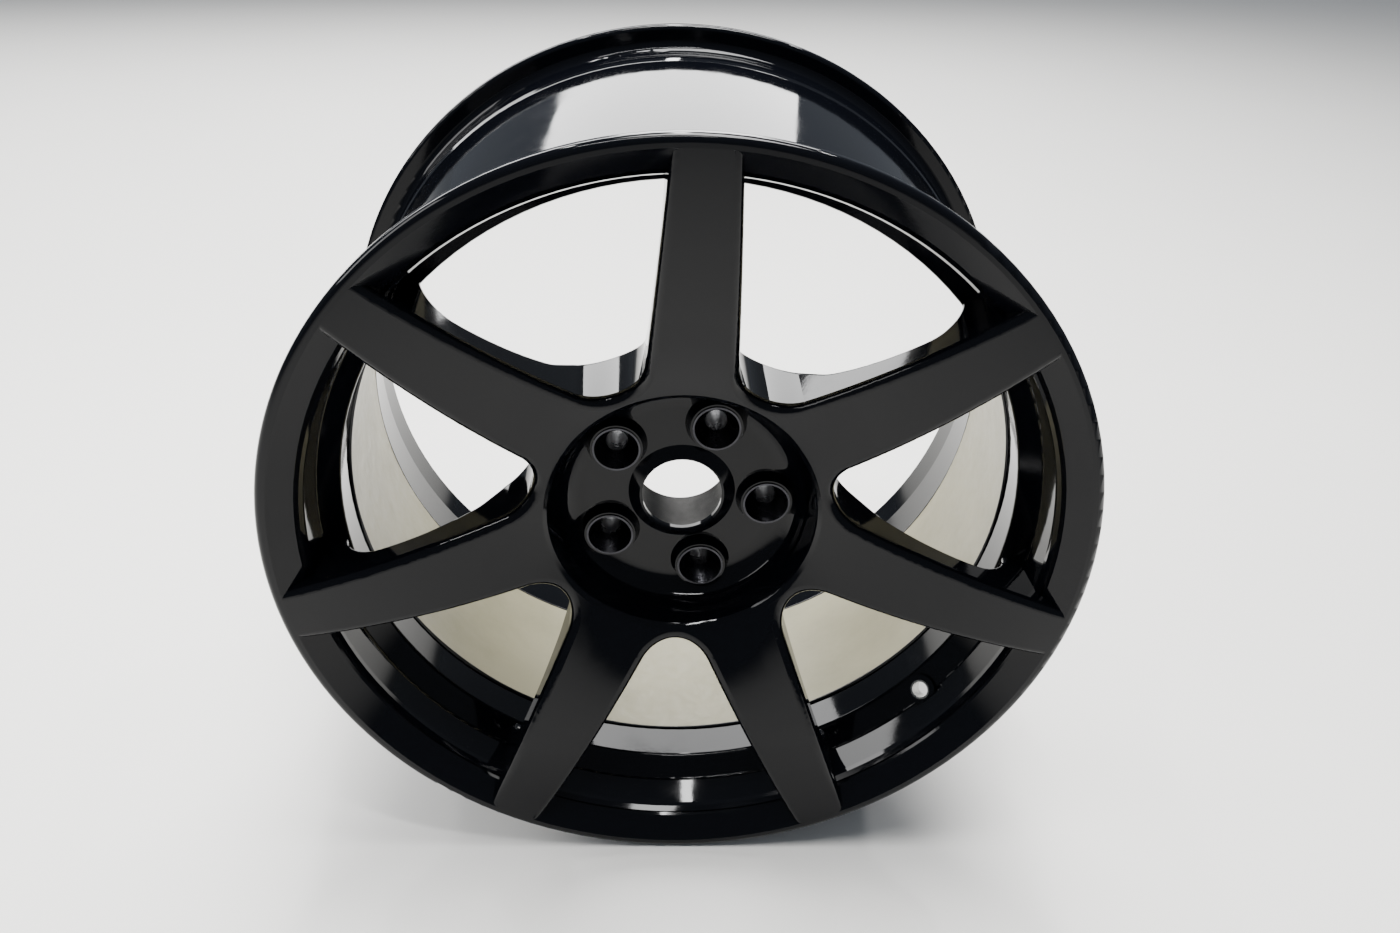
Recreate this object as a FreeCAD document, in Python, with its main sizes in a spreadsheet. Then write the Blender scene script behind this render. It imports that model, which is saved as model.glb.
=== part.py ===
import FreeCAD, Part
import math
import os
import re
import Sketcher

# A 19 by 11 inch seven-spoke wheel. It spins about Y, its outer face looks towards -Y,
# and the origin lies on the spin axis, half way between the two flange edges.
# Lengths are in millimetres and angles in degrees. A length named "ahead" is measured
# from the wheel's middle towards the outer face.

SIZES = {
    # Rim contour on the tyre's side
    "bead_radius": 243.7,        # 19 inch bead seat
    "flange_height": 17.5,
    "rim_width": 279.4,          # between the two flange faces, 11 inch
    "flange_edge": 10.0,         # thickness of each flange edge, along the axis
    "flange_round": 7.5,         # round between flange face and bead seat
    "lip_round": 4.5,            # round on the outer corner of each flange
    "seat_length": 21.0,         # bead seat, flange face to hump
    "seat_fall": 1.5,            # the seat tapers five degrees
    "hump_height": 1.2,
    "hump_length": 7.0,
    "well_drop": 17.7,           # well below the bead seat
    "well_rise": 1.4,            # the well's floor opens towards the rear
    "well_start": 57.7,          # front end of the well's floor, behind the front face
    "well_length": 26.0,
    "barrel_wall": 4.8,
    "soft_round": 3.0,           # rounds on the barrel's corners and the mounting pad
    # Front ring and the barrel's inside
    "ring_rise": 10.3,           # outer edge of the ring face, above the bead seat
    "ring_width": 13.8,
    "ring_depth": 11.3,          # fall of the ring face, from lip to inner edge
    "ridge_step": 2.8,           # thin ridge inside the ring face
    "ridge_groove": 2.4,         # groove between ring face and ridge
    "band_drop": 7.9,            # flat band under the bead seat
    "band_fall": 1.6,
    "band_start": 19.7,          # band's front end, behind the front face
    "band_length": 21.5,
    "wall_length": 12.5,         # wall from band to well, along the axis
    "rear_wall": 4.6,            # thickness under the rear bead seat
    "rear_edge": 15.2,           # height of the rear flange's flat face
    "rear_flare": 13.0,          # length of the flare to that face
    "lining_thickness": 1.2,
    "lining_length": 136.5,
    # Studs
    "stud_count": 5.0,
    "stud_circle": 57.15,        # five studs on 114.3
    "stud_hole": 7.5,
    "seat_cone": 7.1,            # mouth of the conical seat, outside the hole
    "seat_rim": 1.2,             # flat edge around that mouth
    "seat_proud": 9.0,           # front of each seat, above the recess floor
    "seat_depth": 21.0,
    "boss_land": 1.6,            # top of the boss, around the seat
    "boss_slope": 3.0,
    "boss_rise": 8.0,            # boss above the recess floor
    "post_wall": 3.5,            # sleeve behind the seat
    "flange_step": 4.0,          # flange at the sleeve's rear end
    "post_foot": 4.0,            # thickness of that flange
    # Hub
    "offset": 24.0,              # mounting face, ahead
    "pad_margin": 4.85,          # mounting pad outside the sleeves' flanges
    "hub_floor": 74.0,           # floor of the front recess, ahead
    "floor_margin": 6.85,        # flat floor outside the stud circle
    "bowl_round": 20.0,
    "bowl_flare": 3.8,           # the recess wall leans outwards by this
    "bowl_ahead": 106.8,         # top edge of the recess wall
    "crest_width": 3.2,          # from there to the start of the spoke faces
    "crest_rise": 2.9,
    "crest_round": 3.0,
    "face_round": 400.0,         # crown of the spoke faces, from hub to lip
    "bore_radius": 35.25,
    "bore_chamfer": 2.5,
    "sleeve_wall": 3.0,
    "cap_inset": 8.25,           # front mouth of the bore, inside the bore's wall
    "cap_lip": 4.0,              # thickness of the lip around that mouth
    "cap_rise": 5.0,             # height of the lip above the recess floor
    "cap_land": 1.5,             # narrow top of the lip
    "cap_foot": 0.75,            # foot of the lip, outside the bore's wall
    # Spokes and windows
    "spoke_count": 7.0,
    "spoke_hub": 29.7,           # half width of a spoke where its face begins
    "spoke_tip": 19.1,           # half width at the lip
    "hub_land": 8.75,            # from the start of the faces to the windows
    "spoke_edge": 5.5,           # round along the front edges
    "spoke_back": 3.0,           # round along the rear edges
    "root_reach": 42.0,          # rear cone's end, outside the start of the spoke faces
    "root_share": 0.728,         # the same place, on the way from the mounting face to the turn
    "root_round": 40.0,
    "back_inset": 26.0,          # the backs turn towards the barrel, inside the well
    "back_start": 28.2,          # the same place, behind the front face
    "back_bend": 29.8,           # the backs are hollow between cone and turn, in degrees
    "turn_round": 20.0,
    "flare_start": 55.7,         # the backs meet the barrel, behind the front face
    "flare_round": 30.0,
    # Valve hole
    "valve_hole": 5.65,
    "bush_wall": 1.25,
    "valve_land": 3.9,           # boss around the bush
    "valve_rise": 2.4,           # boss above the wall that it stands on
    "valve_place": 5.4,          # hole's centre from the wall's outer edge
    "bush_stand": 0.6,           # bush above its boss
    "bush_length": 13.5,
    # How the parts go together
    "bond_gap": 0.05,            # glue line around each metal insert
    "clocking": 39.57,           # the valve hole's angle below +X
}

doc = FreeCAD.newDocument("wheel")
sheet = doc.addObject("Spreadsheet::Sheet", "Sizes")
for row, (alias, size) in enumerate(SIZES.items(), start=1):
    sheet.set(f"A{row}", alias)
    sheet.set(f"B{row}", str(size))
    sheet.setAlias(f"B{row}", alias)
working = doc.addObject("Spreadsheet::Sheet", "Working")
doc.recompute()

# Stations and radii that several parts share, each as a formula of the sizes
HALF = "(rim_width / 2)"
FRONT = "(rim_width / 2 + flange_edge)"
BEYOND = "(bead_radius + flange_height + 8)"
FLANGE = "(bead_radius + flange_height)"
SEAT_FOOT = "(bead_radius - seat_fall)"
SEAT_END = "(rim_width / 2 - seat_length)"
HUMP_MID = "(rim_width / 2 - seat_length - hump_length / 2)"
HUMP_END = "(rim_width / 2 - seat_length - hump_length)"
WELL_RADIUS = "(bead_radius - well_drop)"
WELL_AHEAD = f"({FRONT} - well_start)"
WELL_END = f"({WELL_AHEAD} - well_length)"
WELL_INSIDE = f"({WELL_RADIUS} - barrel_wall)"
RING_OUTER = "(bead_radius + ring_rise)"
RING_INNER = f"({RING_OUTER} - ring_width)"
BAND_RADIUS = "(bead_radius - band_drop)"
BAND_FOOT = f"({BAND_RADIUS} - band_fall)"
BAND_FRONT = f"({FRONT} - band_start)"
BAND_REAR = f"({BAND_FRONT} - band_length)"
WALL_FOOT = f"({BAND_REAR} - wall_length)"
REAR_BAND = f"({SEAT_FOOT} - rear_wall)"
CONE_START = f"({WELL_RADIUS} + well_rise - barrel_wall)"
LINING_END = (
    f"({CONE_START} + lining_length * ({REAR_BAND} - {CONE_START}) / ({HUMP_END} + {WELL_END}))"
)
BAND_ANGLE = "(atan(band_fall / band_length) / 1deg)"
WALL_ANGLE = f"(atan(({BAND_FOOT} - {WELL_INSIDE}) / wall_length) / 1deg)"
FLOOR_ANGLE = f"(atan(well_rise / ({WALL_FOOT} - {WELL_END})) / 1deg)"

SEAT_MOUTH = "(stud_hole + seat_cone)"
SEAT_RADIUS = f"({SEAT_MOUTH} + seat_rim)"
SEAT_AHEAD = "(hub_floor + seat_proud)"
SEAT_BACK = f"({SEAT_AHEAD} - seat_depth)"
BOSS_TOP = f"({SEAT_RADIUS} + boss_land)"
POST_RADIUS = "(stud_hole + post_wall)"
POST_FLANGE = f"({POST_RADIUS} + flange_step)"
PAD_RADIUS = f"(stud_circle + {POST_FLANGE} + pad_margin)"
FLOOR_RADIUS = "(stud_circle + floor_margin)"
BOWL_RIM = f"({FLOOR_RADIUS} + bowl_round + bowl_flare)"
FACE_START = f"({BOWL_RIM} + crest_width)"
FACE_AHEAD = "(bowl_ahead + crest_rise)"
SLEEVE = "(bore_radius + sleeve_wall)"
SLEEVE_FRONT = "(hub_floor - cap_lip)"
CAP_RADIUS = "(bore_radius - cap_inset)"
CAP_FOOT = "(bore_radius + cap_foot)"
VALVE_BUSH = "(valve_hole + bush_wall)"

SPREAD = f"((spoke_hub - spoke_tip) / ({RING_OUTER} - {FACE_START}))"
WINDOW_TIP = (
    f"((spoke_hub + {SPREAD} * {FACE_START})"
    f" / (sin(180 / spoke_count) + {SPREAD} * cos(180 / spoke_count)))"
)
WINDOW_ANGLE = f"(180 / spoke_count + atan({SPREAD}) / 1deg)"
WINDOW_ROUND = (
    f"(({FACE_START} + hub_land - {WINDOW_TIP})"
    f" * sin({WINDOW_ANGLE}) / (1 - sin({WINDOW_ANGLE})))"
)

# The crown of the spoke faces is one arc from the recess rim through the lip. Its centre:
FACE_RUN = f"({RING_OUTER} - {FACE_START})"
FACE_FALL = f"({FRONT} - {FACE_AHEAD})"
ROOT_AHEAD = f"(offset + root_share * ({FRONT} - back_start - offset))"
BACK_RUN = f"({WELL_RADIUS} - back_inset - {FACE_START} - root_reach)"
BACK_RISE = f"({FRONT} - back_start - {ROOT_AHEAD})"
BACK_ROUND = f"(sqrt({BACK_RUN}^2 + {BACK_RISE}^2) / 2 / sin(back_bend / 2))"
FACE_CHORD = f"sqrt({FACE_RUN}^2 + {FACE_FALL}^2)"
FACE_DEPTH = f"sqrt(face_round^2 - {FACE_CHORD}^2 / 4)"
CROWN_RADIUS = (
    f"(({RING_OUTER} + {FACE_START}) / 2 + {FACE_FALL} / {FACE_CHORD} * {FACE_DEPTH})"
)
CROWN_BEHIND = f"({FACE_RUN} / {FACE_CHORD} * {FACE_DEPTH} - ({FRONT} + {FACE_AHEAD}) / 2)"


def bound(formula):
    """A formula of the sheet's sizes, as an object outside the sheet writes it."""
    return re.sub(r"\b([a-z]+_[a-z]+|offset|clocking)\b", r"Sizes.\1", formula)


def number(formula):
    """The present value of a formula, worked out in a cell that nothing else reads."""
    working.set("A1", f"={bound(formula)}")
    working.recompute()
    return float(getattr(working.A1, "Value", working.A1))


def newBody(name):
    body = doc.addObject("PartDesign::Body", name)
    body.Label = name
    return body


def originPart(body, role):
    return next(item for item in body.Origin.OriginFeatures if item.Role == role)


def newSketch(body, name, plane):
    """A sketch on one of the body's own planes."""
    sketch = body.newObject("Sketcher::SketchObject", name)
    sketch.AttachmentSupport = [(originPart(body, plane), "")]
    sketch.MapMode = "FlatFace"
    return sketch


def arcBetween(start, end, radius, side):
    """The short arc from start to end; side is +1 with its centre on the left hand."""
    middle = (start + end) / 2
    chord = end - start
    rise = math.sqrt(radius ** 2 - (chord.Length / 2) ** 2)
    left = FreeCAD.Vector(-chord.y, chord.x, 0).normalize()
    centre = middle + left * rise * side
    first, last = (start, end) if side > 0 else (end, start)
    angles = [math.atan2(point.y - centre.y, point.x - centre.x) for point in (first, last)]
    circle = Part.Circle(centre, FreeCAD.Vector(0, 0, 1), radius)
    return Part.ArcOfCircle(circle, angles[0], angles[1])


def drawOutline(sketch, corners, arcs=None):
    """A closed outline through corners, which are pairs of formulas.

    arcs gives, for a corner's number, the radius and side of the arc that leaves it;
    every other stretch is straight.
    """
    arcs = arcs or {}
    count = len(corners)
    points = [FreeCAD.Vector(number(across), number(along), 0) for across, along in corners]
    ends = []
    for index, start in enumerate(points):
        end = points[(index + 1) % count]
        if index in arcs:
            radius, side = arcs[index]
            curve = sketch.addGeometry(arcBetween(start, end, number(radius), side), False)
            ends.append((curve, 1, 2) if side > 0 else (curve, 2, 1))
            rule = sketch.addConstraint(Sketcher.Constraint("Radius", curve, number(radius)))
            sketch.setExpression(f"Constraints[{rule}]", bound(radius))
        else:
            curve = sketch.addGeometry(Part.LineSegment(start, end), False)
            ends.append((curve, 1, 2))
    for index, (across, along) in enumerate(corners):
        curve, first, last = ends[index]
        following, start, _ = ends[(index + 1) % count]
        sketch.addConstraint(Sketcher.Constraint("Coincident", curve, last, following, start))
        for kind, formula in (("DistanceX", across), ("DistanceY", along)):
            rule = Sketcher.Constraint(kind, -1, 1, curve, first, number(formula))
            place = sketch.addConstraint(rule)
            sketch.setExpression(f"Constraints[{place}]", bound(formula))


def drawAxis(sketch, start, end):
    """A construction line through two pairs of formulas, to revolve about."""
    points = [FreeCAD.Vector(number(across), number(along), 0) for across, along in (start, end)]
    line = sketch.addGeometry(Part.LineSegment(points[0], points[1]), True)
    for position, corner in ((1, start), (2, end)):
        for kind, formula in (("DistanceX", corner[0]), ("DistanceY", corner[1])):
            rule = Sketcher.Constraint(kind, -1, 1, line, position, number(formula))
            place = sketch.addConstraint(rule)
            sketch.setExpression(f"Constraints[{place}]", bound(formula))


def revolve(body, kind, sketch, axis="V_Axis"):
    """A full turn of the sketch; kind is Revolution or Groove. The volume has to change."""
    before = body.Shape.Volume if not body.Shape.isNull() else 0.0
    feature = body.newObject(f"PartDesign::{kind}", f"{sketch.Name}Turn")
    feature.Profile = sketch
    feature.ReferenceAxis = (sketch, [axis])
    feature.Angle = 360
    sketch.Visibility = False
    doc.recompute()
    change = body.Shape.Volume - before
    if (change > 0) != (kind == "Revolution") or abs(change) < 1:
        raise RuntimeError(f"{feature.Name} changed the volume by {change:.1f}")
    return feature


def pattern(body, feature, count):
    copies = body.newObject("PartDesign::PolarPattern", f"{feature.Name}Ring")
    copies.Originals = [feature]
    copies.Axis = (originPart(body, "Y_Axis"), [""])
    copies.Angle = 360
    copies.Occurrences = int(number(count))
    copies.setExpression("Occurrences", bound(count))
    body.Tip = copies
    doc.recompute()
    return copies


def roundEdges(body, name, radius, chosen):
    """A fillet on every edge of the body that chosen(edge) picks."""
    base = body.Tip
    names = [f"Edge{place}" for place, edge in enumerate(base.Shape.Edges, 1) if chosen(edge)]
    if not names:
        raise RuntimeError(f"{name} finds no edge")
    fillet = body.newObject("PartDesign::Fillet", name)
    fillet.Base = (base, names)
    fillet.Radius = number(radius)
    fillet.setExpression("Radius", bound(radius))
    doc.recompute()
    if fillet.Shape.isNull() or not fillet.Shape.isValid():
        raise RuntimeError(f"{name} makes no valid solid")
    return fillet


def alongEdge(edge, samples=7):
    first, last = edge.ParameterRange
    steps = range(samples)
    return [edge.valueAt(first + (last - first) * step / (samples - 1)) for step in steps]


def radiusOf(point):
    return math.hypot(point.x, point.z)


def hoopAt(corners, slack=0.05):
    """Picks the hoops around the spin axis that pass through the given corners."""
    places = [(number(across), number(along)) for across, along in corners]

    def chosen(edge):
        return any(
            all(
                abs(radiusOf(point) - across) < slack and abs(point.y - along) < slack
                for point in alongEdge(edge)
            )
            for across, along in places
        )

    return chosen


def turnToClock(body, extra="0"):
    """Turns a body about the spin axis to the wheel's clocking."""
    body.Placement = FreeCAD.Placement(
        FreeCAD.Vector(), FreeCAD.Rotation(FreeCAD.Vector(0, 1, 0), number("clocking"))
    )
    body.setExpression("Placement.Rotation.Angle", bound(f"(clocking + {extra}) * 1deg"))


def ahead(formula):
    return f"-({formula})"


def fromCorner(corner, angle, way):
    """A point that lies way ahead of a corner, on a slope that opens by angle."""
    return (f"{corner[0]} + {way} * sin({angle})", f"-({corner[1]}) - {way} * cos({angle})")


# The inside of the barrel from the lip to the well: the front ring's face, the ridge, the
# flat band and the wall down to the well. The spokes end on the same contour.
BAND_CORNER = (BAND_FOOT, BAND_REAR)
WELL_CORNER = (WELL_INSIDE, WALL_FOOT)
BAND_TOUCH = f"(soft_round * tan(({WALL_ANGLE} - {BAND_ANGLE}) / 2))"
WELL_TOUCH = f"(soft_round * tan(({WALL_ANGLE} + {FLOOR_ANGLE}) / 2))"
INSIDE_FRONT = [
    (RING_OUTER, ahead(FRONT)),
    (RING_INNER, ahead(f"{FRONT} - ring_depth")),
    (f"{RING_INNER} - ridge_step / 2", ahead(f"{FRONT} - ring_depth - ridge_groove")),
    (f"{RING_INNER} - ridge_step", ahead(f"{FRONT} - ring_depth - ridge_groove / 2")),
    (BAND_RADIUS, ahead(f"{FRONT} - ring_depth - 2 * ridge_groove")),
    (BAND_RADIUS, ahead(BAND_FRONT)),
    fromCorner(BAND_CORNER, BAND_ANGLE, BAND_TOUCH),
    fromCorner(BAND_CORNER, WALL_ANGLE, f"-{BAND_TOUCH}"),
    fromCorner(WELL_CORNER, WALL_ANGLE, WELL_TOUCH),
    fromCorner(WELL_CORNER, f"-{FLOOR_ANGLE}", f"-{WELL_TOUCH}"),
    (CONE_START, ahead(WELL_END)),
]
INSIDE_ARCS = {6: ("soft_round", 1), 8: ("soft_round", -1)}


def alongWall(inward, across):
    """A point near the valve hole: inward along the hole's axis, across along the wall."""
    start = (BAND_FOOT, ahead(BAND_REAR))
    radial = f"({inward}) * cos({WALL_ANGLE}) - ({across}) * sin({WALL_ANGLE})"
    axial = f"({inward}) * sin({WALL_ANGLE}) + ({across}) * cos({WALL_ANGLE})"
    return (f"{start[0]} + {radial}", f"{start[1]} + {axial}")


def makeBarrel():
    """The rim's barrel with both flanges, the front ring and the valve boss."""
    body = newBody("rim_barrel")
    contour = newSketch(body, "BarrelContour", "XY_Plane")
    rearAndTyreSide = [
        (REAR_BAND, HUMP_END),
        (REAR_BAND, f"{FRONT} - rear_flare"),
        (f"{FLANGE} - rear_edge", FRONT),
        (FLANGE, FRONT),
        (FLANGE, HALF),
        ("bead_radius", HALF),
        (SEAT_FOOT, SEAT_END),
        (f"{SEAT_FOOT} + hump_height", HUMP_MID),
        (SEAT_FOOT, HUMP_END),
        (f"{WELL_RADIUS} + well_rise", ahead(WELL_END)),
        (WELL_RADIUS, ahead(WELL_AHEAD)),
        (SEAT_FOOT, ahead(HUMP_END)),
        (f"{SEAT_FOOT} + hump_height", ahead(HUMP_MID)),
        (SEAT_FOOT, ahead(SEAT_END)),
        ("bead_radius", ahead(HALF)),
        (FLANGE, ahead(HALF)),
        (FLANGE, ahead(FRONT)),
    ]
    drawOutline(contour, INSIDE_FRONT + rearAndTyreSide, INSIDE_ARCS)
    revolve(body, "Revolution", contour)
    lips = [(FLANGE, FRONT), (FLANGE, ahead(FRONT))]
    roundEdges(body, "LipRounds", "lip_round", hoopAt(lips))
    seats = [("bead_radius", HALF), ("bead_radius", ahead(HALF))]
    roundEdges(body, "SeatRounds", "flange_round", hoopAt(seats))
    soft = [(FLANGE, HALF), (FLANGE, ahead(HALF)), (WELL_RADIUS, ahead(WELL_AHEAD))]
    soft += [(f"{FLANGE} - rear_edge", FRONT), (SEAT_FOOT, ahead(HUMP_END)), (SEAT_FOOT, HUMP_END)]
    roundEdges(body, "SoftRounds", "soft_round", hoopAt(soft))

    boss = newSketch(body, "ValveBoss", "XY_Plane")
    drawAxis(boss, alongWall("-30", "valve_place"), alongWall("30", "valve_place"))
    drawOutline(boss, valveOutline("-valve_rise", "barrel_wall / 2", f"{VALVE_BUSH} + valve_land"))
    revolve(body, "Revolution", boss, "Axis0")
    hole = newSketch(body, "ValveHole", "XY_Plane")
    drawAxis(hole, alongWall("-30", "valve_place"), alongWall("30", "valve_place"))
    drawOutline(hole, valveOutline("-4 * valve_rise", "4 * barrel_wall", VALVE_BUSH))
    revolve(body, "Groove", hole, "Axis0")
    turnToClock(body)
    return body


def valveOutline(start, end, radius, inner="0"):
    """Half the section of a cylinder or tube on the valve hole's axis."""
    far = f"valve_place - ({radius})"
    near = f"valve_place - ({inner})"
    return [alongWall(start, near), alongWall(end, near), alongWall(end, far), alongWall(start, far)]


def studOutline(steps):
    """Half a section on the axis of the stud at -X; steps are pairs of radius and ahead."""
    return [(f"{radius} - stud_circle", ahead(station)) for radius, station in steps]


def studSketch(body, name, steps):
    sketch = newSketch(body, name, "XY_Plane")
    drawAxis(sketch, ("-stud_circle", "0"), ("-stud_circle", ahead(FRONT)))
    drawOutline(sketch, studOutline(steps))
    return sketch


def crown(radius):
    """Y of the spoke faces at a distance from the spin axis."""
    across = radius - number(CROWN_RADIUS)
    return number(CROWN_BEHIND) - math.sqrt(number("face_round") ** 2 - across ** 2)


def windowRim(front):
    """Picks the edges around the windows, on the spoke faces or on the spoke backs."""
    reach = number(BEYOND)

    def chosen(edge):
        points = alongEdge(edge)
        radii = [radiusOf(point) for point in points]
        seam = max(abs(point.z) for point in points) < 0.01
        if seam or max(radii) - min(radii) < 0.2 or min(radii) > reach - 1:
            return False
        onFace = all(abs(point.y - crown(radius)) < 0.1 for point, radius in zip(points, radii))
        return onFace == front

    return chosen


def makeCentre():
    """The hub and its seven spokes, trimmed to the barrel's inside."""
    body = newBody("wheel_centre")
    contour = newSketch(body, "CentreContour", "XY_Plane")
    faceEnd = f"{CROWN_BEHIND} - sqrt(face_round^2 - ({BEYOND} - {CROWN_RADIUS})^2)"
    corners = [
        (CAP_RADIUS, ahead("hub_floor + cap_rise - cap_land / 2")),
        (CAP_RADIUS, ahead("hub_floor + cap_rise - cap_lip")),
        (f"{CAP_FOOT} - cap_land", ahead(SLEEVE_FRONT)),
        (f"{SLEEVE} + bond_gap", ahead(SLEEVE_FRONT)),
        (f"{SLEEVE} + bond_gap", ahead("offset")),
        (PAD_RADIUS, ahead("offset")),
        (f"{FACE_START} + root_reach", ahead(ROOT_AHEAD)),
        (f"{WELL_RADIUS} - back_inset", ahead(f"{FRONT} - back_start")),
        (CONE_START, ahead(f"{FRONT} - flare_start")),
        (BEYOND, ahead(f"{FRONT} - flare_start")),
        (BEYOND, faceEnd),
        (FACE_START, ahead(FACE_AHEAD)),
        (BOWL_RIM, ahead("bowl_ahead")),
        (f"{FLOOR_RADIUS} + bowl_round", ahead("hub_floor + bowl_round")),
        (FLOOR_RADIUS, ahead("hub_floor")),
        (CAP_FOOT, ahead("hub_floor")),
        (f"{CAP_RADIUS} + cap_land", ahead("hub_floor + cap_rise")),
    ]
    arcs = {6: (BACK_ROUND, 1), 7: ("flare_round", 1)}
    arcs |= {10: ("face_round", -1), 13: ("bowl_round", 1)}
    drawOutline(contour, corners, arcs)
    revolve(body, "Revolution", contour)
    crest = [(BOWL_RIM, ahead("bowl_ahead")), (FACE_START, ahead(FACE_AHEAD))]
    roundEdges(body, "CrestRounds", "crest_round", hoopAt(crest))
    roundEdges(body, "PadRound", "soft_round", hoopAt([(PAD_RADIUS, ahead("offset"))]))
    root = (f"{FACE_START} + root_reach", ahead(ROOT_AHEAD))
    turn = (f"{WELL_RADIUS} - back_inset", ahead(f"{FRONT} - back_start"))
    roundEdges(body, "RootRound", "root_round", hoopAt([root]))
    roundEdges(body, "TurnRound", "turn_round", hoopAt([turn]))

    window = newSketch(body, "Window", "XZ_Plane")
    middle = f"({WINDOW_TIP} + {WINDOW_ROUND} / sin({WINDOW_ANGLE}))"
    touchRadius = f"{middle} - {WINDOW_ROUND} * sin({WINDOW_ANGLE})"
    touchSide = f"{WINDOW_ROUND} * cos({WINDOW_ANGLE})"
    reach = f"({BEYOND} + 10)"
    reachSide = f"({reach} - {WINDOW_TIP}) * tan({WINDOW_ANGLE})"
    rim = [(touchRadius, touchSide), (touchRadius, f"-{touchSide}")]
    rim += [(reach, f"-{reachSide}"), (reach, reachSide)]
    drawOutline(window, rim, {0: (WINDOW_ROUND, 1)})
    pocket = body.newObject("PartDesign::Pocket", "WindowCut")
    pocket.Profile = window
    pocket.Type = "ThroughAll"
    pocket.SideType = "Symmetric"
    doc.recompute()
    pattern(body, pocket, "spoke_count")
    roundEdges(body, "SpokeEdges", "spoke_edge", windowRim(True))
    roundEdges(body, "SpokeBacks", "spoke_back", windowRim(False))

    trim = newSketch(body, "BarrelTrim", "XY_Plane")
    outside = [
        (f"{BEYOND} + 5", ahead(WELL_END)),
        (f"{BEYOND} + 5", ahead(f"{FRONT} + 5")),
        (RING_OUTER, ahead(f"{FRONT} + 5")),
    ]
    drawOutline(trim, INSIDE_FRONT + outside, INSIDE_ARCS)
    revolve(body, "Groove", trim)

    bossFoot = f"{BOSS_TOP} + boss_slope"
    bossSteps = [("0", "hub_floor - 2"), (bossFoot, "hub_floor - 2"), (bossFoot, "hub_floor")]
    bossSteps += [(BOSS_TOP, "hub_floor + boss_rise"), ("0", "hub_floor + boss_rise")]
    boss = studSketch(body, "StudBoss", bossSteps)
    pattern(body, revolve(body, "Revolution", boss, "Axis0"), "stud_count")
    boreSteps = [
        ("0", f"{SEAT_AHEAD} + 5"),
        (f"{SEAT_RADIUS} + bond_gap", f"{SEAT_AHEAD} + 5"),
        (f"{SEAT_RADIUS} + bond_gap", SEAT_BACK),
        (f"{POST_RADIUS} + bond_gap", SEAT_BACK),
        (f"{POST_RADIUS} + bond_gap", "offset + post_foot"),
        (f"{POST_FLANGE} + bond_gap", "offset + post_foot"),
        (f"{POST_FLANGE} + bond_gap", "offset - 5"),
        ("0", "offset - 5"),
    ]
    bore = studSketch(body, "StudBore", boreSteps)
    pattern(body, revolve(body, "Groove", bore, "Axis0"), "stud_count")
    turnToClock(body)
    return body


def makeLining():
    """The pale band on the barrel's inside."""
    body = newBody("barrel_lining")
    end = f"lining_length - {WELL_END}"
    section = newSketch(body, "LiningSection", "XY_Plane")
    corners = [
        (CONE_START, ahead(WELL_END)),
        (LINING_END, end),
        (f"{LINING_END} - lining_thickness", end),
        (f"{CONE_START} - lining_thickness", ahead(WELL_END)),
    ]
    drawOutline(section, corners)
    revolve(body, "Revolution", section)
    turnToClock(body)
    return body


def makeSleeve():
    """The metal sleeve that lines the hub bore."""
    body = newBody("hub_bore_sleeve")
    section = newSketch(body, "SleeveSection", "XY_Plane")
    corners = [
        ("bore_radius", ahead(SLEEVE_FRONT)),
        ("bore_radius", ahead("offset + bore_chamfer")),
        ("bore_radius + bore_chamfer", ahead("offset")),
        (SLEEVE, ahead("offset")),
        (SLEEVE, ahead(SLEEVE_FRONT)),
    ]
    drawOutline(section, corners)
    revolve(body, "Revolution", section)
    turnToClock(body)
    return body


def makeBush():
    """The metal bush pressed into the valve hole."""
    body = newBody("valve_bush")
    section = newSketch(body, "BushSection", "XY_Plane")
    drawAxis(section, alongWall("-30", "valve_place"), alongWall("30", "valve_place"))
    start = "(-valve_rise - bush_stand)"
    outline = valveOutline(start, f"{start} + bush_length", VALVE_BUSH, "valve_hole")
    drawOutline(section, outline)
    revolve(body, "Revolution", section, "Axis0")
    turnToClock(body)
    return body


def makeSeat(place):
    """The conical seat in the front end of one stud hole."""
    body = newBody(f"lug_seat_{place + 1}")
    coneEnd = f"({SEAT_AHEAD} - seat_cone / tan(30))"
    steps = [("stud_hole", SEAT_BACK), ("stud_hole", coneEnd), (SEAT_MOUTH, SEAT_AHEAD)]
    steps += [(SEAT_RADIUS, SEAT_AHEAD), (SEAT_RADIUS, SEAT_BACK)]
    section = studSketch(body, "SeatSection", steps)
    revolve(body, "Revolution", section, "Axis0")
    turnToClock(body, f"{place} * 360 / stud_count")
    return body


def makePost(place):
    """The flanged sleeve behind one seat; it takes the clamping load to the mounting face."""
    body = newBody(f"lug_sleeve_{place + 1}")
    steps = [
        ("stud_hole", SEAT_BACK),
        (POST_RADIUS, SEAT_BACK),
        (POST_RADIUS, "offset + post_foot"),
        (POST_FLANGE, "offset + post_foot"),
        (POST_FLANGE, "offset"),
        ("stud_hole", "offset"),
    ]
    section = studSketch(body, "PostSection", steps)
    revolve(body, "Revolution", section, "Axis0")
    turnToClock(body, f"{place} * 360 / stud_count")
    return body


bodies = [makeBarrel(), makeCentre(), makeLining(), makeSleeve(), makeBush()]
for place in range(int(number("stud_count"))):
    bodies += [makeSeat(place), makePost(place)]
doc.recompute()

for item in doc.Objects:
    if "Invalid" in item.State or "Error" in item.State:
        raise RuntimeError(f"{item.Label} is {item.State}")
os.makedirs("parts", exist_ok=True)
for body in bodies:
    if body.Shape.isNull() or not body.Shape.isValid() or len(body.Shape.Solids) != 1:
        raise RuntimeError(f"{body.Label} is not one valid solid")
    body.Shape.exportStep(f"parts/{body.Label}.step")
    print(f"{body.Label}: {body.Shape.Volume / 1000:.1f} cm3")
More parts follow.
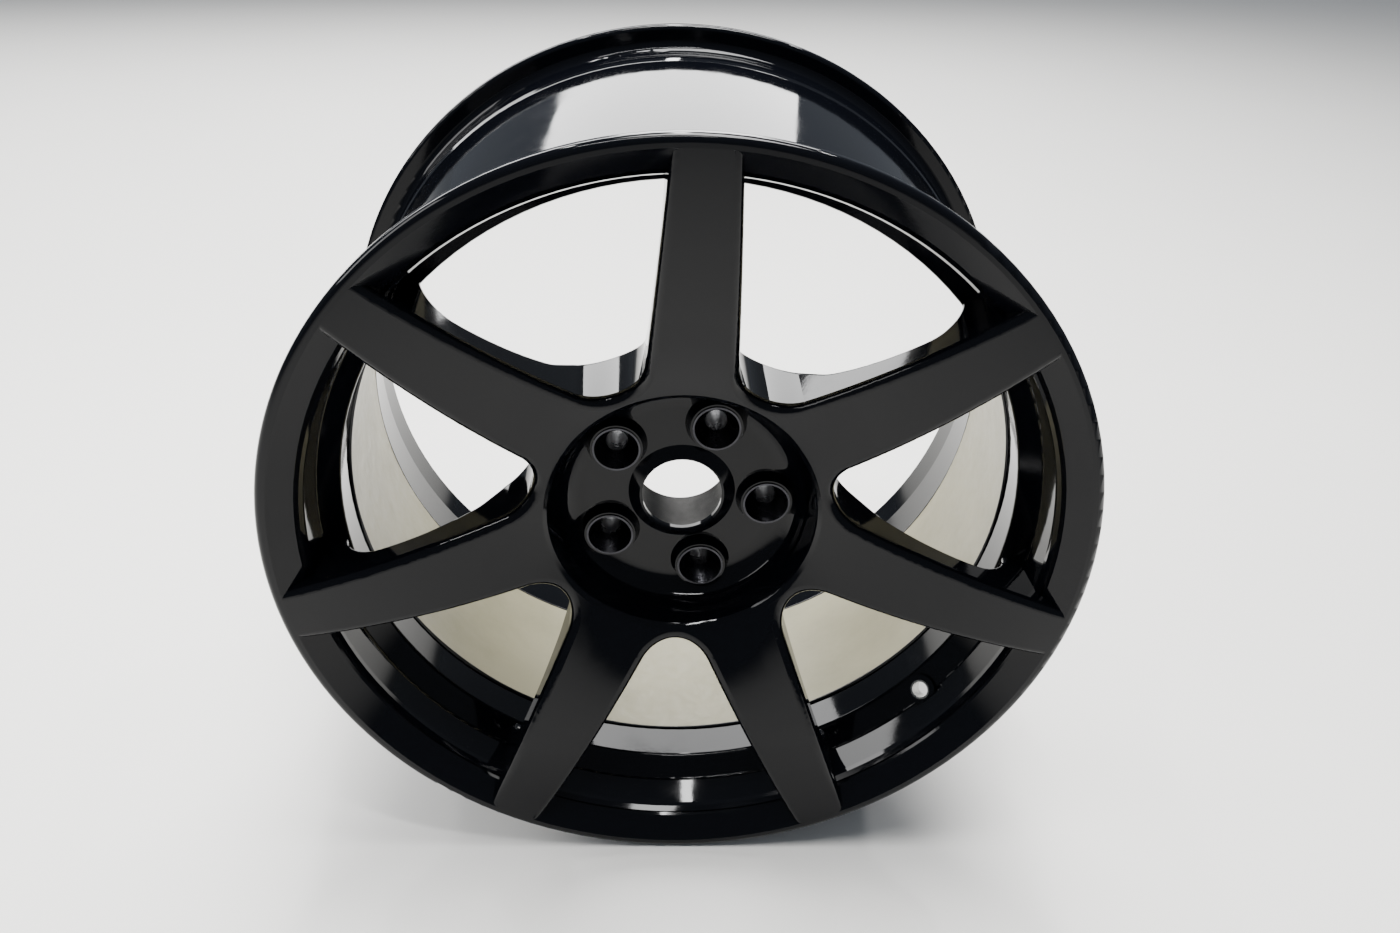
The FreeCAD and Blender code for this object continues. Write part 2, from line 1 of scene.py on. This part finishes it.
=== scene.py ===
import math

import bpy
from mathutils import Matrix, Vector


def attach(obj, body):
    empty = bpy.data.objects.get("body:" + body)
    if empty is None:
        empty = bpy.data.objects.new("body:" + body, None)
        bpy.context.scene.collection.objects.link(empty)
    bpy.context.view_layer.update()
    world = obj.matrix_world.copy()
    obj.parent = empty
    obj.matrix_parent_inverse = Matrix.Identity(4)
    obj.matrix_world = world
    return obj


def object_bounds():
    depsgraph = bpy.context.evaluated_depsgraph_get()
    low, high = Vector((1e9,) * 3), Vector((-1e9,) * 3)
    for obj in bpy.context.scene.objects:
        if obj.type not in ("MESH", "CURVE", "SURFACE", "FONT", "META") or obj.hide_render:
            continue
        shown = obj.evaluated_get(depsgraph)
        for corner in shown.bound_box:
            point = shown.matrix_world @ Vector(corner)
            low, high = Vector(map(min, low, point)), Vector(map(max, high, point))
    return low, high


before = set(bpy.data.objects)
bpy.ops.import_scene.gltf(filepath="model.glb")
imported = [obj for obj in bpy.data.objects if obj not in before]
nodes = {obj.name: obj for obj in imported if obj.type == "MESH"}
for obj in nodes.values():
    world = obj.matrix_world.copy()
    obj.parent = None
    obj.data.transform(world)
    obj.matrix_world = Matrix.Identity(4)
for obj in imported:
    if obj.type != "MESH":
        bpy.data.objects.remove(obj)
cadLow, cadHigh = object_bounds()
print("wheel loaded:", len(nodes), "parts")


def putIn(thing):
    bpy.context.scene.collection.objects.link(thing)


# node helpers

def newMaterial(name):
    material = bpy.data.materials.new(name)
    material.use_nodes = True
    tree = material.node_tree
    shader = tree.nodes["Principled BSDF"]
    return material, tree, shader


def addNode(tree, kind, inputs=None, **settings):
    node = tree.nodes.new(kind)
    for key, value in settings.items():
        setattr(node, key, value)
    for key, value in (inputs or {}).items():
        socket = node.inputs[key]
        if isinstance(value, bpy.types.NodeSocket):
            tree.links.new(value, socket)
        else:
            socket.default_value = value
    return node


def objectPlace(tree):
    return addNode(tree, "ShaderNodeTexCoord").outputs["Object"]


def grain(tree, place, scale, detail=3.0, roughness=0.5):
    noise = addNode(
        tree, "ShaderNodeTexNoise",
        {"Vector": place, "Scale": scale, "Detail": detail, "Roughness": roughness},
    )
    return noise.outputs["Fac"]


def remap(tree, value, low, high, toLow, toHigh):
    ranged = addNode(
        tree, "ShaderNodeMapRange",
        {"Value": value, "From Min": low, "From Max": high, "To Min": toLow, "To Max": toHigh},
    )
    return ranged.outputs["Result"]


def blendColours(tree, factor, first, second):
    mix = addNode(tree, "ShaderNodeMix", data_type="RGBA")
    mix.inputs[6].default_value = (*first, 1)
    mix.inputs[7].default_value = (*second, 1)
    tree.links.new(factor, mix.inputs[0])
    return mix.outputs[2]


def bump(tree, height, strength, distance, under=None):
    inputs = {"Height": height, "Strength": strength, "Distance": distance}
    if under is not None:
        inputs["Normal"] = under
    return addNode(tree, "ShaderNodeBump", inputs).outputs["Normal"]


# finishes

lacquer = {
    "colour": (0.0016, 0.0019, 0.0030),
    "dust": (0.012, 0.012, 0.013),
    "roughness": (0.035, 0.085),    # polished, with faint hazy patches
    "gloss": 0.19,
    "hazeScale": 38,                # every scale is in waves per metre
    "speckScale": 2600,
    "speckShare": (0.70, 0.78),     # only the peaks of the grain hold dust
    "dustiness": 0.55,
    "peelScale": 420,               # orange peel
    "peelStrength": 0.5,
    "peelDepth": 0.000012,
    "rippleScale": 26,
    "rippleStrength": 0.35,
    "rippleDepth": 0.00012,
}


def makeLacquer():
    material, tree, shader = newMaterial("glossBlackLacquer")
    place = objectPlace(tree)
    haze = grain(tree, place, lacquer["hazeScale"], 5, 0.6)
    specks = grain(tree, place, lacquer["speckScale"], 2, 0.6)
    dusty = remap(tree, specks, *lacquer["speckShare"], 0, lacquer["dustiness"])
    colour = blendColours(tree, dusty, lacquer["colour"], lacquer["dust"])
    tree.links.new(colour, shader.inputs["Base Color"])
    low, high = lacquer["roughness"]
    tree.links.new(remap(tree, haze, 0.35, 0.7, low, high), shader.inputs["Roughness"])
    ripple = bump(
        tree, grain(tree, place, lacquer["rippleScale"], 1),
        lacquer["rippleStrength"], lacquer["rippleDepth"],
    )
    peel = bump(
        tree, grain(tree, place, lacquer["peelScale"], 2),
        lacquer["peelStrength"], lacquer["peelDepth"], ripple,
    )
    tree.links.new(peel, shader.inputs["Normal"])
    shader.inputs["Specular IOR Level"].default_value = lacquer["gloss"]
    return material


heatLining = {
    "pale": (0.50, 0.465, 0.31),
    "stained": (0.40, 0.37, 0.235),
    "roughness": (0.34, 0.50),
    "gloss": 0.35,
    "blotchScale": 11,
    "fineScale": 160,
    "waveScale": 30,
    "waveStrength": 0.4,
    "waveDepth": 0.0006,
    "clothScale": 900,
    "clothStrength": 0.35,
    "clothDepth": 0.00008,
}


def makeHeatLining():
    material, tree, shader = newMaterial("paleHeatLining")
    place = objectPlace(tree)
    blotch = grain(tree, place, heatLining["blotchScale"], 5, 0.62)
    colour = blendColours(
        tree, remap(tree, blotch, 0.38, 0.68, 0, 1), heatLining["pale"], heatLining["stained"]
    )
    tree.links.new(colour, shader.inputs["Base Color"])
    low, high = heatLining["roughness"]
    fine = grain(tree, place, heatLining["fineScale"], 4, 0.6)
    tree.links.new(remap(tree, fine, 0.3, 0.7, low, high), shader.inputs["Roughness"])
    waves = bump(
        tree, grain(tree, place, heatLining["waveScale"], 2),
        heatLining["waveStrength"], heatLining["waveDepth"],
    )
    cloth = bump(
        tree, grain(tree, place, heatLining["clothScale"], 2),
        heatLining["clothStrength"], heatLining["clothDepth"], waves,
    )
    tree.links.new(cloth, shader.inputs["Normal"])
    shader.inputs["Specular IOR Level"].default_value = heatLining["gloss"]
    return material


# each metal: its name, colour, roughness range and lathe rings per metre
turnedMetals = {
    "bush": ("turnedBushMetal", (0.24, 0.24, 0.23), (0.20, 0.34), 2400),
    "bore": ("greyBoreMetal", (0.016, 0.0155, 0.0145), (0.42, 0.56), 1500),
    "sleeve": ("dullSleeveMetal", (0.075, 0.075, 0.078), (0.36, 0.50), 1500),
    "seat": ("darkSeatMetal", (0.045, 0.045, 0.050), (0.22, 0.34), 1800),
}
lathe = {
    "wander": 0.6,          # how far the rings stray
    "ringStrength": 0.25,
    "ringDepth": 0.00003,
    "smearScale": 70,
    "smearShade": 0.72,     # smears are this much of the metal's colour
}


def makeTurnedMetal(name, colour, roughness, ringScale):
    # fine rings around the spin axis, left by the lathe
    material, tree, shader = newMaterial(name)
    place = objectPlace(tree)
    rings = addNode(
        tree, "ShaderNodeTexWave",
        {"Vector": place, "Scale": ringScale, "Distortion": lathe["wander"], "Detail": 2.0},
        wave_type="BANDS", bands_direction="Y",
    ).outputs["Fac"]
    smear = grain(tree, place, lathe["smearScale"], 4, 0.6)
    dark = tuple(part * lathe["smearShade"] for part in colour)
    colours = blendColours(tree, remap(tree, smear, 0.35, 0.7, 0, 1), colour, dark)
    tree.links.new(colours, shader.inputs["Base Color"])
    low, high = roughness
    tree.links.new(remap(tree, smear, 0.3, 0.7, low, high), shader.inputs["Roughness"])
    turned = bump(tree, rings, lathe["ringStrength"], lathe["ringDepth"])
    tree.links.new(turned, shader.inputs["Normal"])
    shader.inputs["Metallic"].default_value = 1.0
    return material


blackLacquer = makeLacquer()
paleLining = makeHeatLining()
metals = {key: makeTurnedMetal(*values) for key, values in turnedMetals.items()}


def dress(node, material):
    node.data.materials.clear()
    node.data.materials.append(material)


for name, node in nodes.items():
    if name.startswith("lug_seat"):
        dress(node, metals["seat"])
    elif name.startswith("lug_sleeve"):
        dress(node, metals["sleeve"])
    elif name == "hub_bore_sleeve":
        dress(node, metals["bore"])
    elif name == "valve_bush":
        dress(node, metals["bush"])
    elif name == "barrel_lining":
        dress(node, paleLining)
    else:
        dress(node, blackLacquer)
print("finishes on")


# beads of dark sealer along the lining's two edges

sealer = {
    "colour": (0.006, 0.006, 0.007),
    "roughness": 0.30,
    "thickness": 0.0011,
    "smearScale": 90,
    "smearShade": 2.5,
    "lumpScale": 260,
    "lumpStrength": 0.3,
    "lumpDepth": 0.0001,
    "swell": 0.22,          # how much the bead varies along its length
    "around": 720,
    "across": 10,
    "edgeReach": 0.0005,    # points this near the lining's end belong to its edge
}


def makeSealer():
    material, tree, shader = newMaterial("darkEdgeSealer")
    place = objectPlace(tree)
    smear = grain(tree, place, sealer["smearScale"], 3)
    colour = sealer["colour"]
    pale = tuple(part * sealer["smearShade"] for part in colour)
    tree.links.new(blendColours(tree, smear, colour, pale), shader.inputs["Base Color"])
    lumps = grain(tree, place, sealer["lumpScale"], 2)
    uneven = bump(tree, lumps, sealer["lumpStrength"], sealer["lumpDepth"])
    tree.links.new(uneven, shader.inputs["Normal"])
    shader.inputs["Roughness"].default_value = sealer["roughness"]
    return material


def beadRing(name, radius, along, material):
    rings, sides = sealer["around"], sealer["across"]
    points, faces = [], []
    for i in range(rings):
        turn = math.tau * i / rings
        waver = math.sin(5 * turn) + math.sin(13 * turn + 1.1)
        thickness = sealer["thickness"] * (1 + sealer["swell"] * 0.5 * waver)
        for j in range(sides):
            around = math.tau * j / sides
            out = radius + thickness * math.cos(around)
            side = along + thickness * math.sin(around)
            points.append((out * math.cos(turn), side, out * math.sin(turn)))
            nextRing, nextSide = (i + 1) % rings, (j + 1) % sides
            faces.append((
                i * sides + j, i * sides + nextSide,
                nextRing * sides + nextSide, nextRing * sides + j,
            ))
    mesh = bpy.data.meshes.new(name)
    mesh.from_pydata(points, [], faces)
    mesh.polygons.foreach_set("use_smooth", [True] * len(faces))
    mesh.materials.append(material)
    bead = bpy.data.objects.new(name, mesh)
    putIn(bead)
    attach(bead, "root")


liningPoints = [vertex.co for vertex in nodes["barrel_lining"].data.vertices]
liningFront = min(point.y for point in liningPoints)
liningRear = max(point.y for point in liningPoints)
darkSealer = makeSealer()
for name, along in (("lining_front_bead", liningFront), ("lining_rear_bead", liningRear)):
    edge = [math.hypot(p.x, p.z) for p in liningPoints if abs(p.y - along) < sealer["edgeReach"]]
    beadRing(name, (min(edge) + max(edge)) / 2, along, darkSealer)
print("lining edges sealed")


# studio

studio = {
    "tableColour": (0.90, 0.885, 0.85),
    "tableShade": 0.96,
    "tableRoughness": 0.42,
    "tableSize": 40.0,
    "airColour": (0.80, 0.88, 1.0),
    "airStrength": 0.25,
}

tableMesh = bpy.data.meshes.new("paleTable")
half = studio["tableSize"] / 2
corners = [(-half, -half), (half, -half), (half, half), (-half, half)]
tableMesh.from_pydata([(x, y, cadLow.z) for x, y in corners], [], [(0, 1, 2, 3)])
table = bpy.data.objects.new("paleTable", tableMesh)
putIn(table)
tableFinish, tableTree, tableShader = newMaterial("paleTableTop")
tableCloud = grain(tableTree, objectPlace(tableTree), 3.0, 3)
tableTree.links.new(
    blendColours(
        tableTree, tableCloud, studio["tableColour"],
        tuple(part * studio["tableShade"] for part in studio["tableColour"]),
    ),
    tableShader.inputs["Base Color"],
)
tableShader.inputs["Roughness"].default_value = studio["tableRoughness"]
tableMesh.materials.append(tableFinish)

world = bpy.data.worlds.new("studioAir")
world.use_nodes = True
air = world.node_tree.nodes["Background"]
air.inputs["Color"].default_value = (*studio["airColour"], 1)
air.inputs["Strength"].default_value = studio["airStrength"]
bpy.context.scene.world = world

# each lamp: place, what it looks at, width, depth, power
lamps = {
    "overheadPanel": ((0.2, 0.2, 2.4), (0, 0, 0), 1.3, 1.0, 150),
    "backPanel": ((-0.75, 2.5, 1.45), (-0.15, 0, 0.2), 3.7, 1.0, 135),
    "leftPanel": ((-2.0, -0.3, 1.2), (0, 0, 0), 0.8, 1.0, 22),
    "rearTube": ((-0.05, 1.3, 2.3), (0, 0, 0), 0.12, 1.0, 26),
    "frontTube": ((-0.3, -0.7, 2.2), (0, 0, 0), 1.1, 0.05, 18),
    "smallLampLeft": ((-0.9, 0.7, 2.2), (0, 0, 0), 0.10, 0.10, 7),
    "smallLampRight": ((1.0, 0.9, 2.0), (0, 0, 0), 0.10, 0.10, 7),
}
for name, (place, aim, width, depth, power) in lamps.items():
    light = bpy.data.lights.new(name, "AREA")
    light.shape = "RECTANGLE"
    light.size = width
    light.size_y = depth
    light.energy = power
    lamp = bpy.data.objects.new(name, light)
    lamp.location = place
    lamp.rotation_euler = (Vector(aim) - Vector(place)).to_track_quat("-Z", "Y").to_euler()
    lamp.visible_camera = False
    putIn(lamp)
print("studio lit")


# camera, a little above the wheel and close to it

view = {
    "place": (-0.02603, -0.75024, 0.42230),
    "forward": (0.04770, 0.85813, -0.51120),
    "right": (0.99872, -0.03237, 0.03885),
    "lens": 30.31,
}
forward = Vector(view["forward"]).normalized()
right = Vector(view["right"]).normalized()
up = right.cross(forward).normalized()
right = forward.cross(up)
cameraData = bpy.data.cameras.new("camera")
cameraData.lens = view["lens"]
cameraData.sensor_width = 36
cameraData.clip_start = 0.01
camera = bpy.data.objects.new("camera", cameraData)
turn = Matrix((right, up, -forward)).transposed().to_4x4()
camera.matrix_world = Matrix.Translation(Vector(view["place"])) @ turn
putIn(camera)
bpy.context.scene.camera = camera
print("camera set")
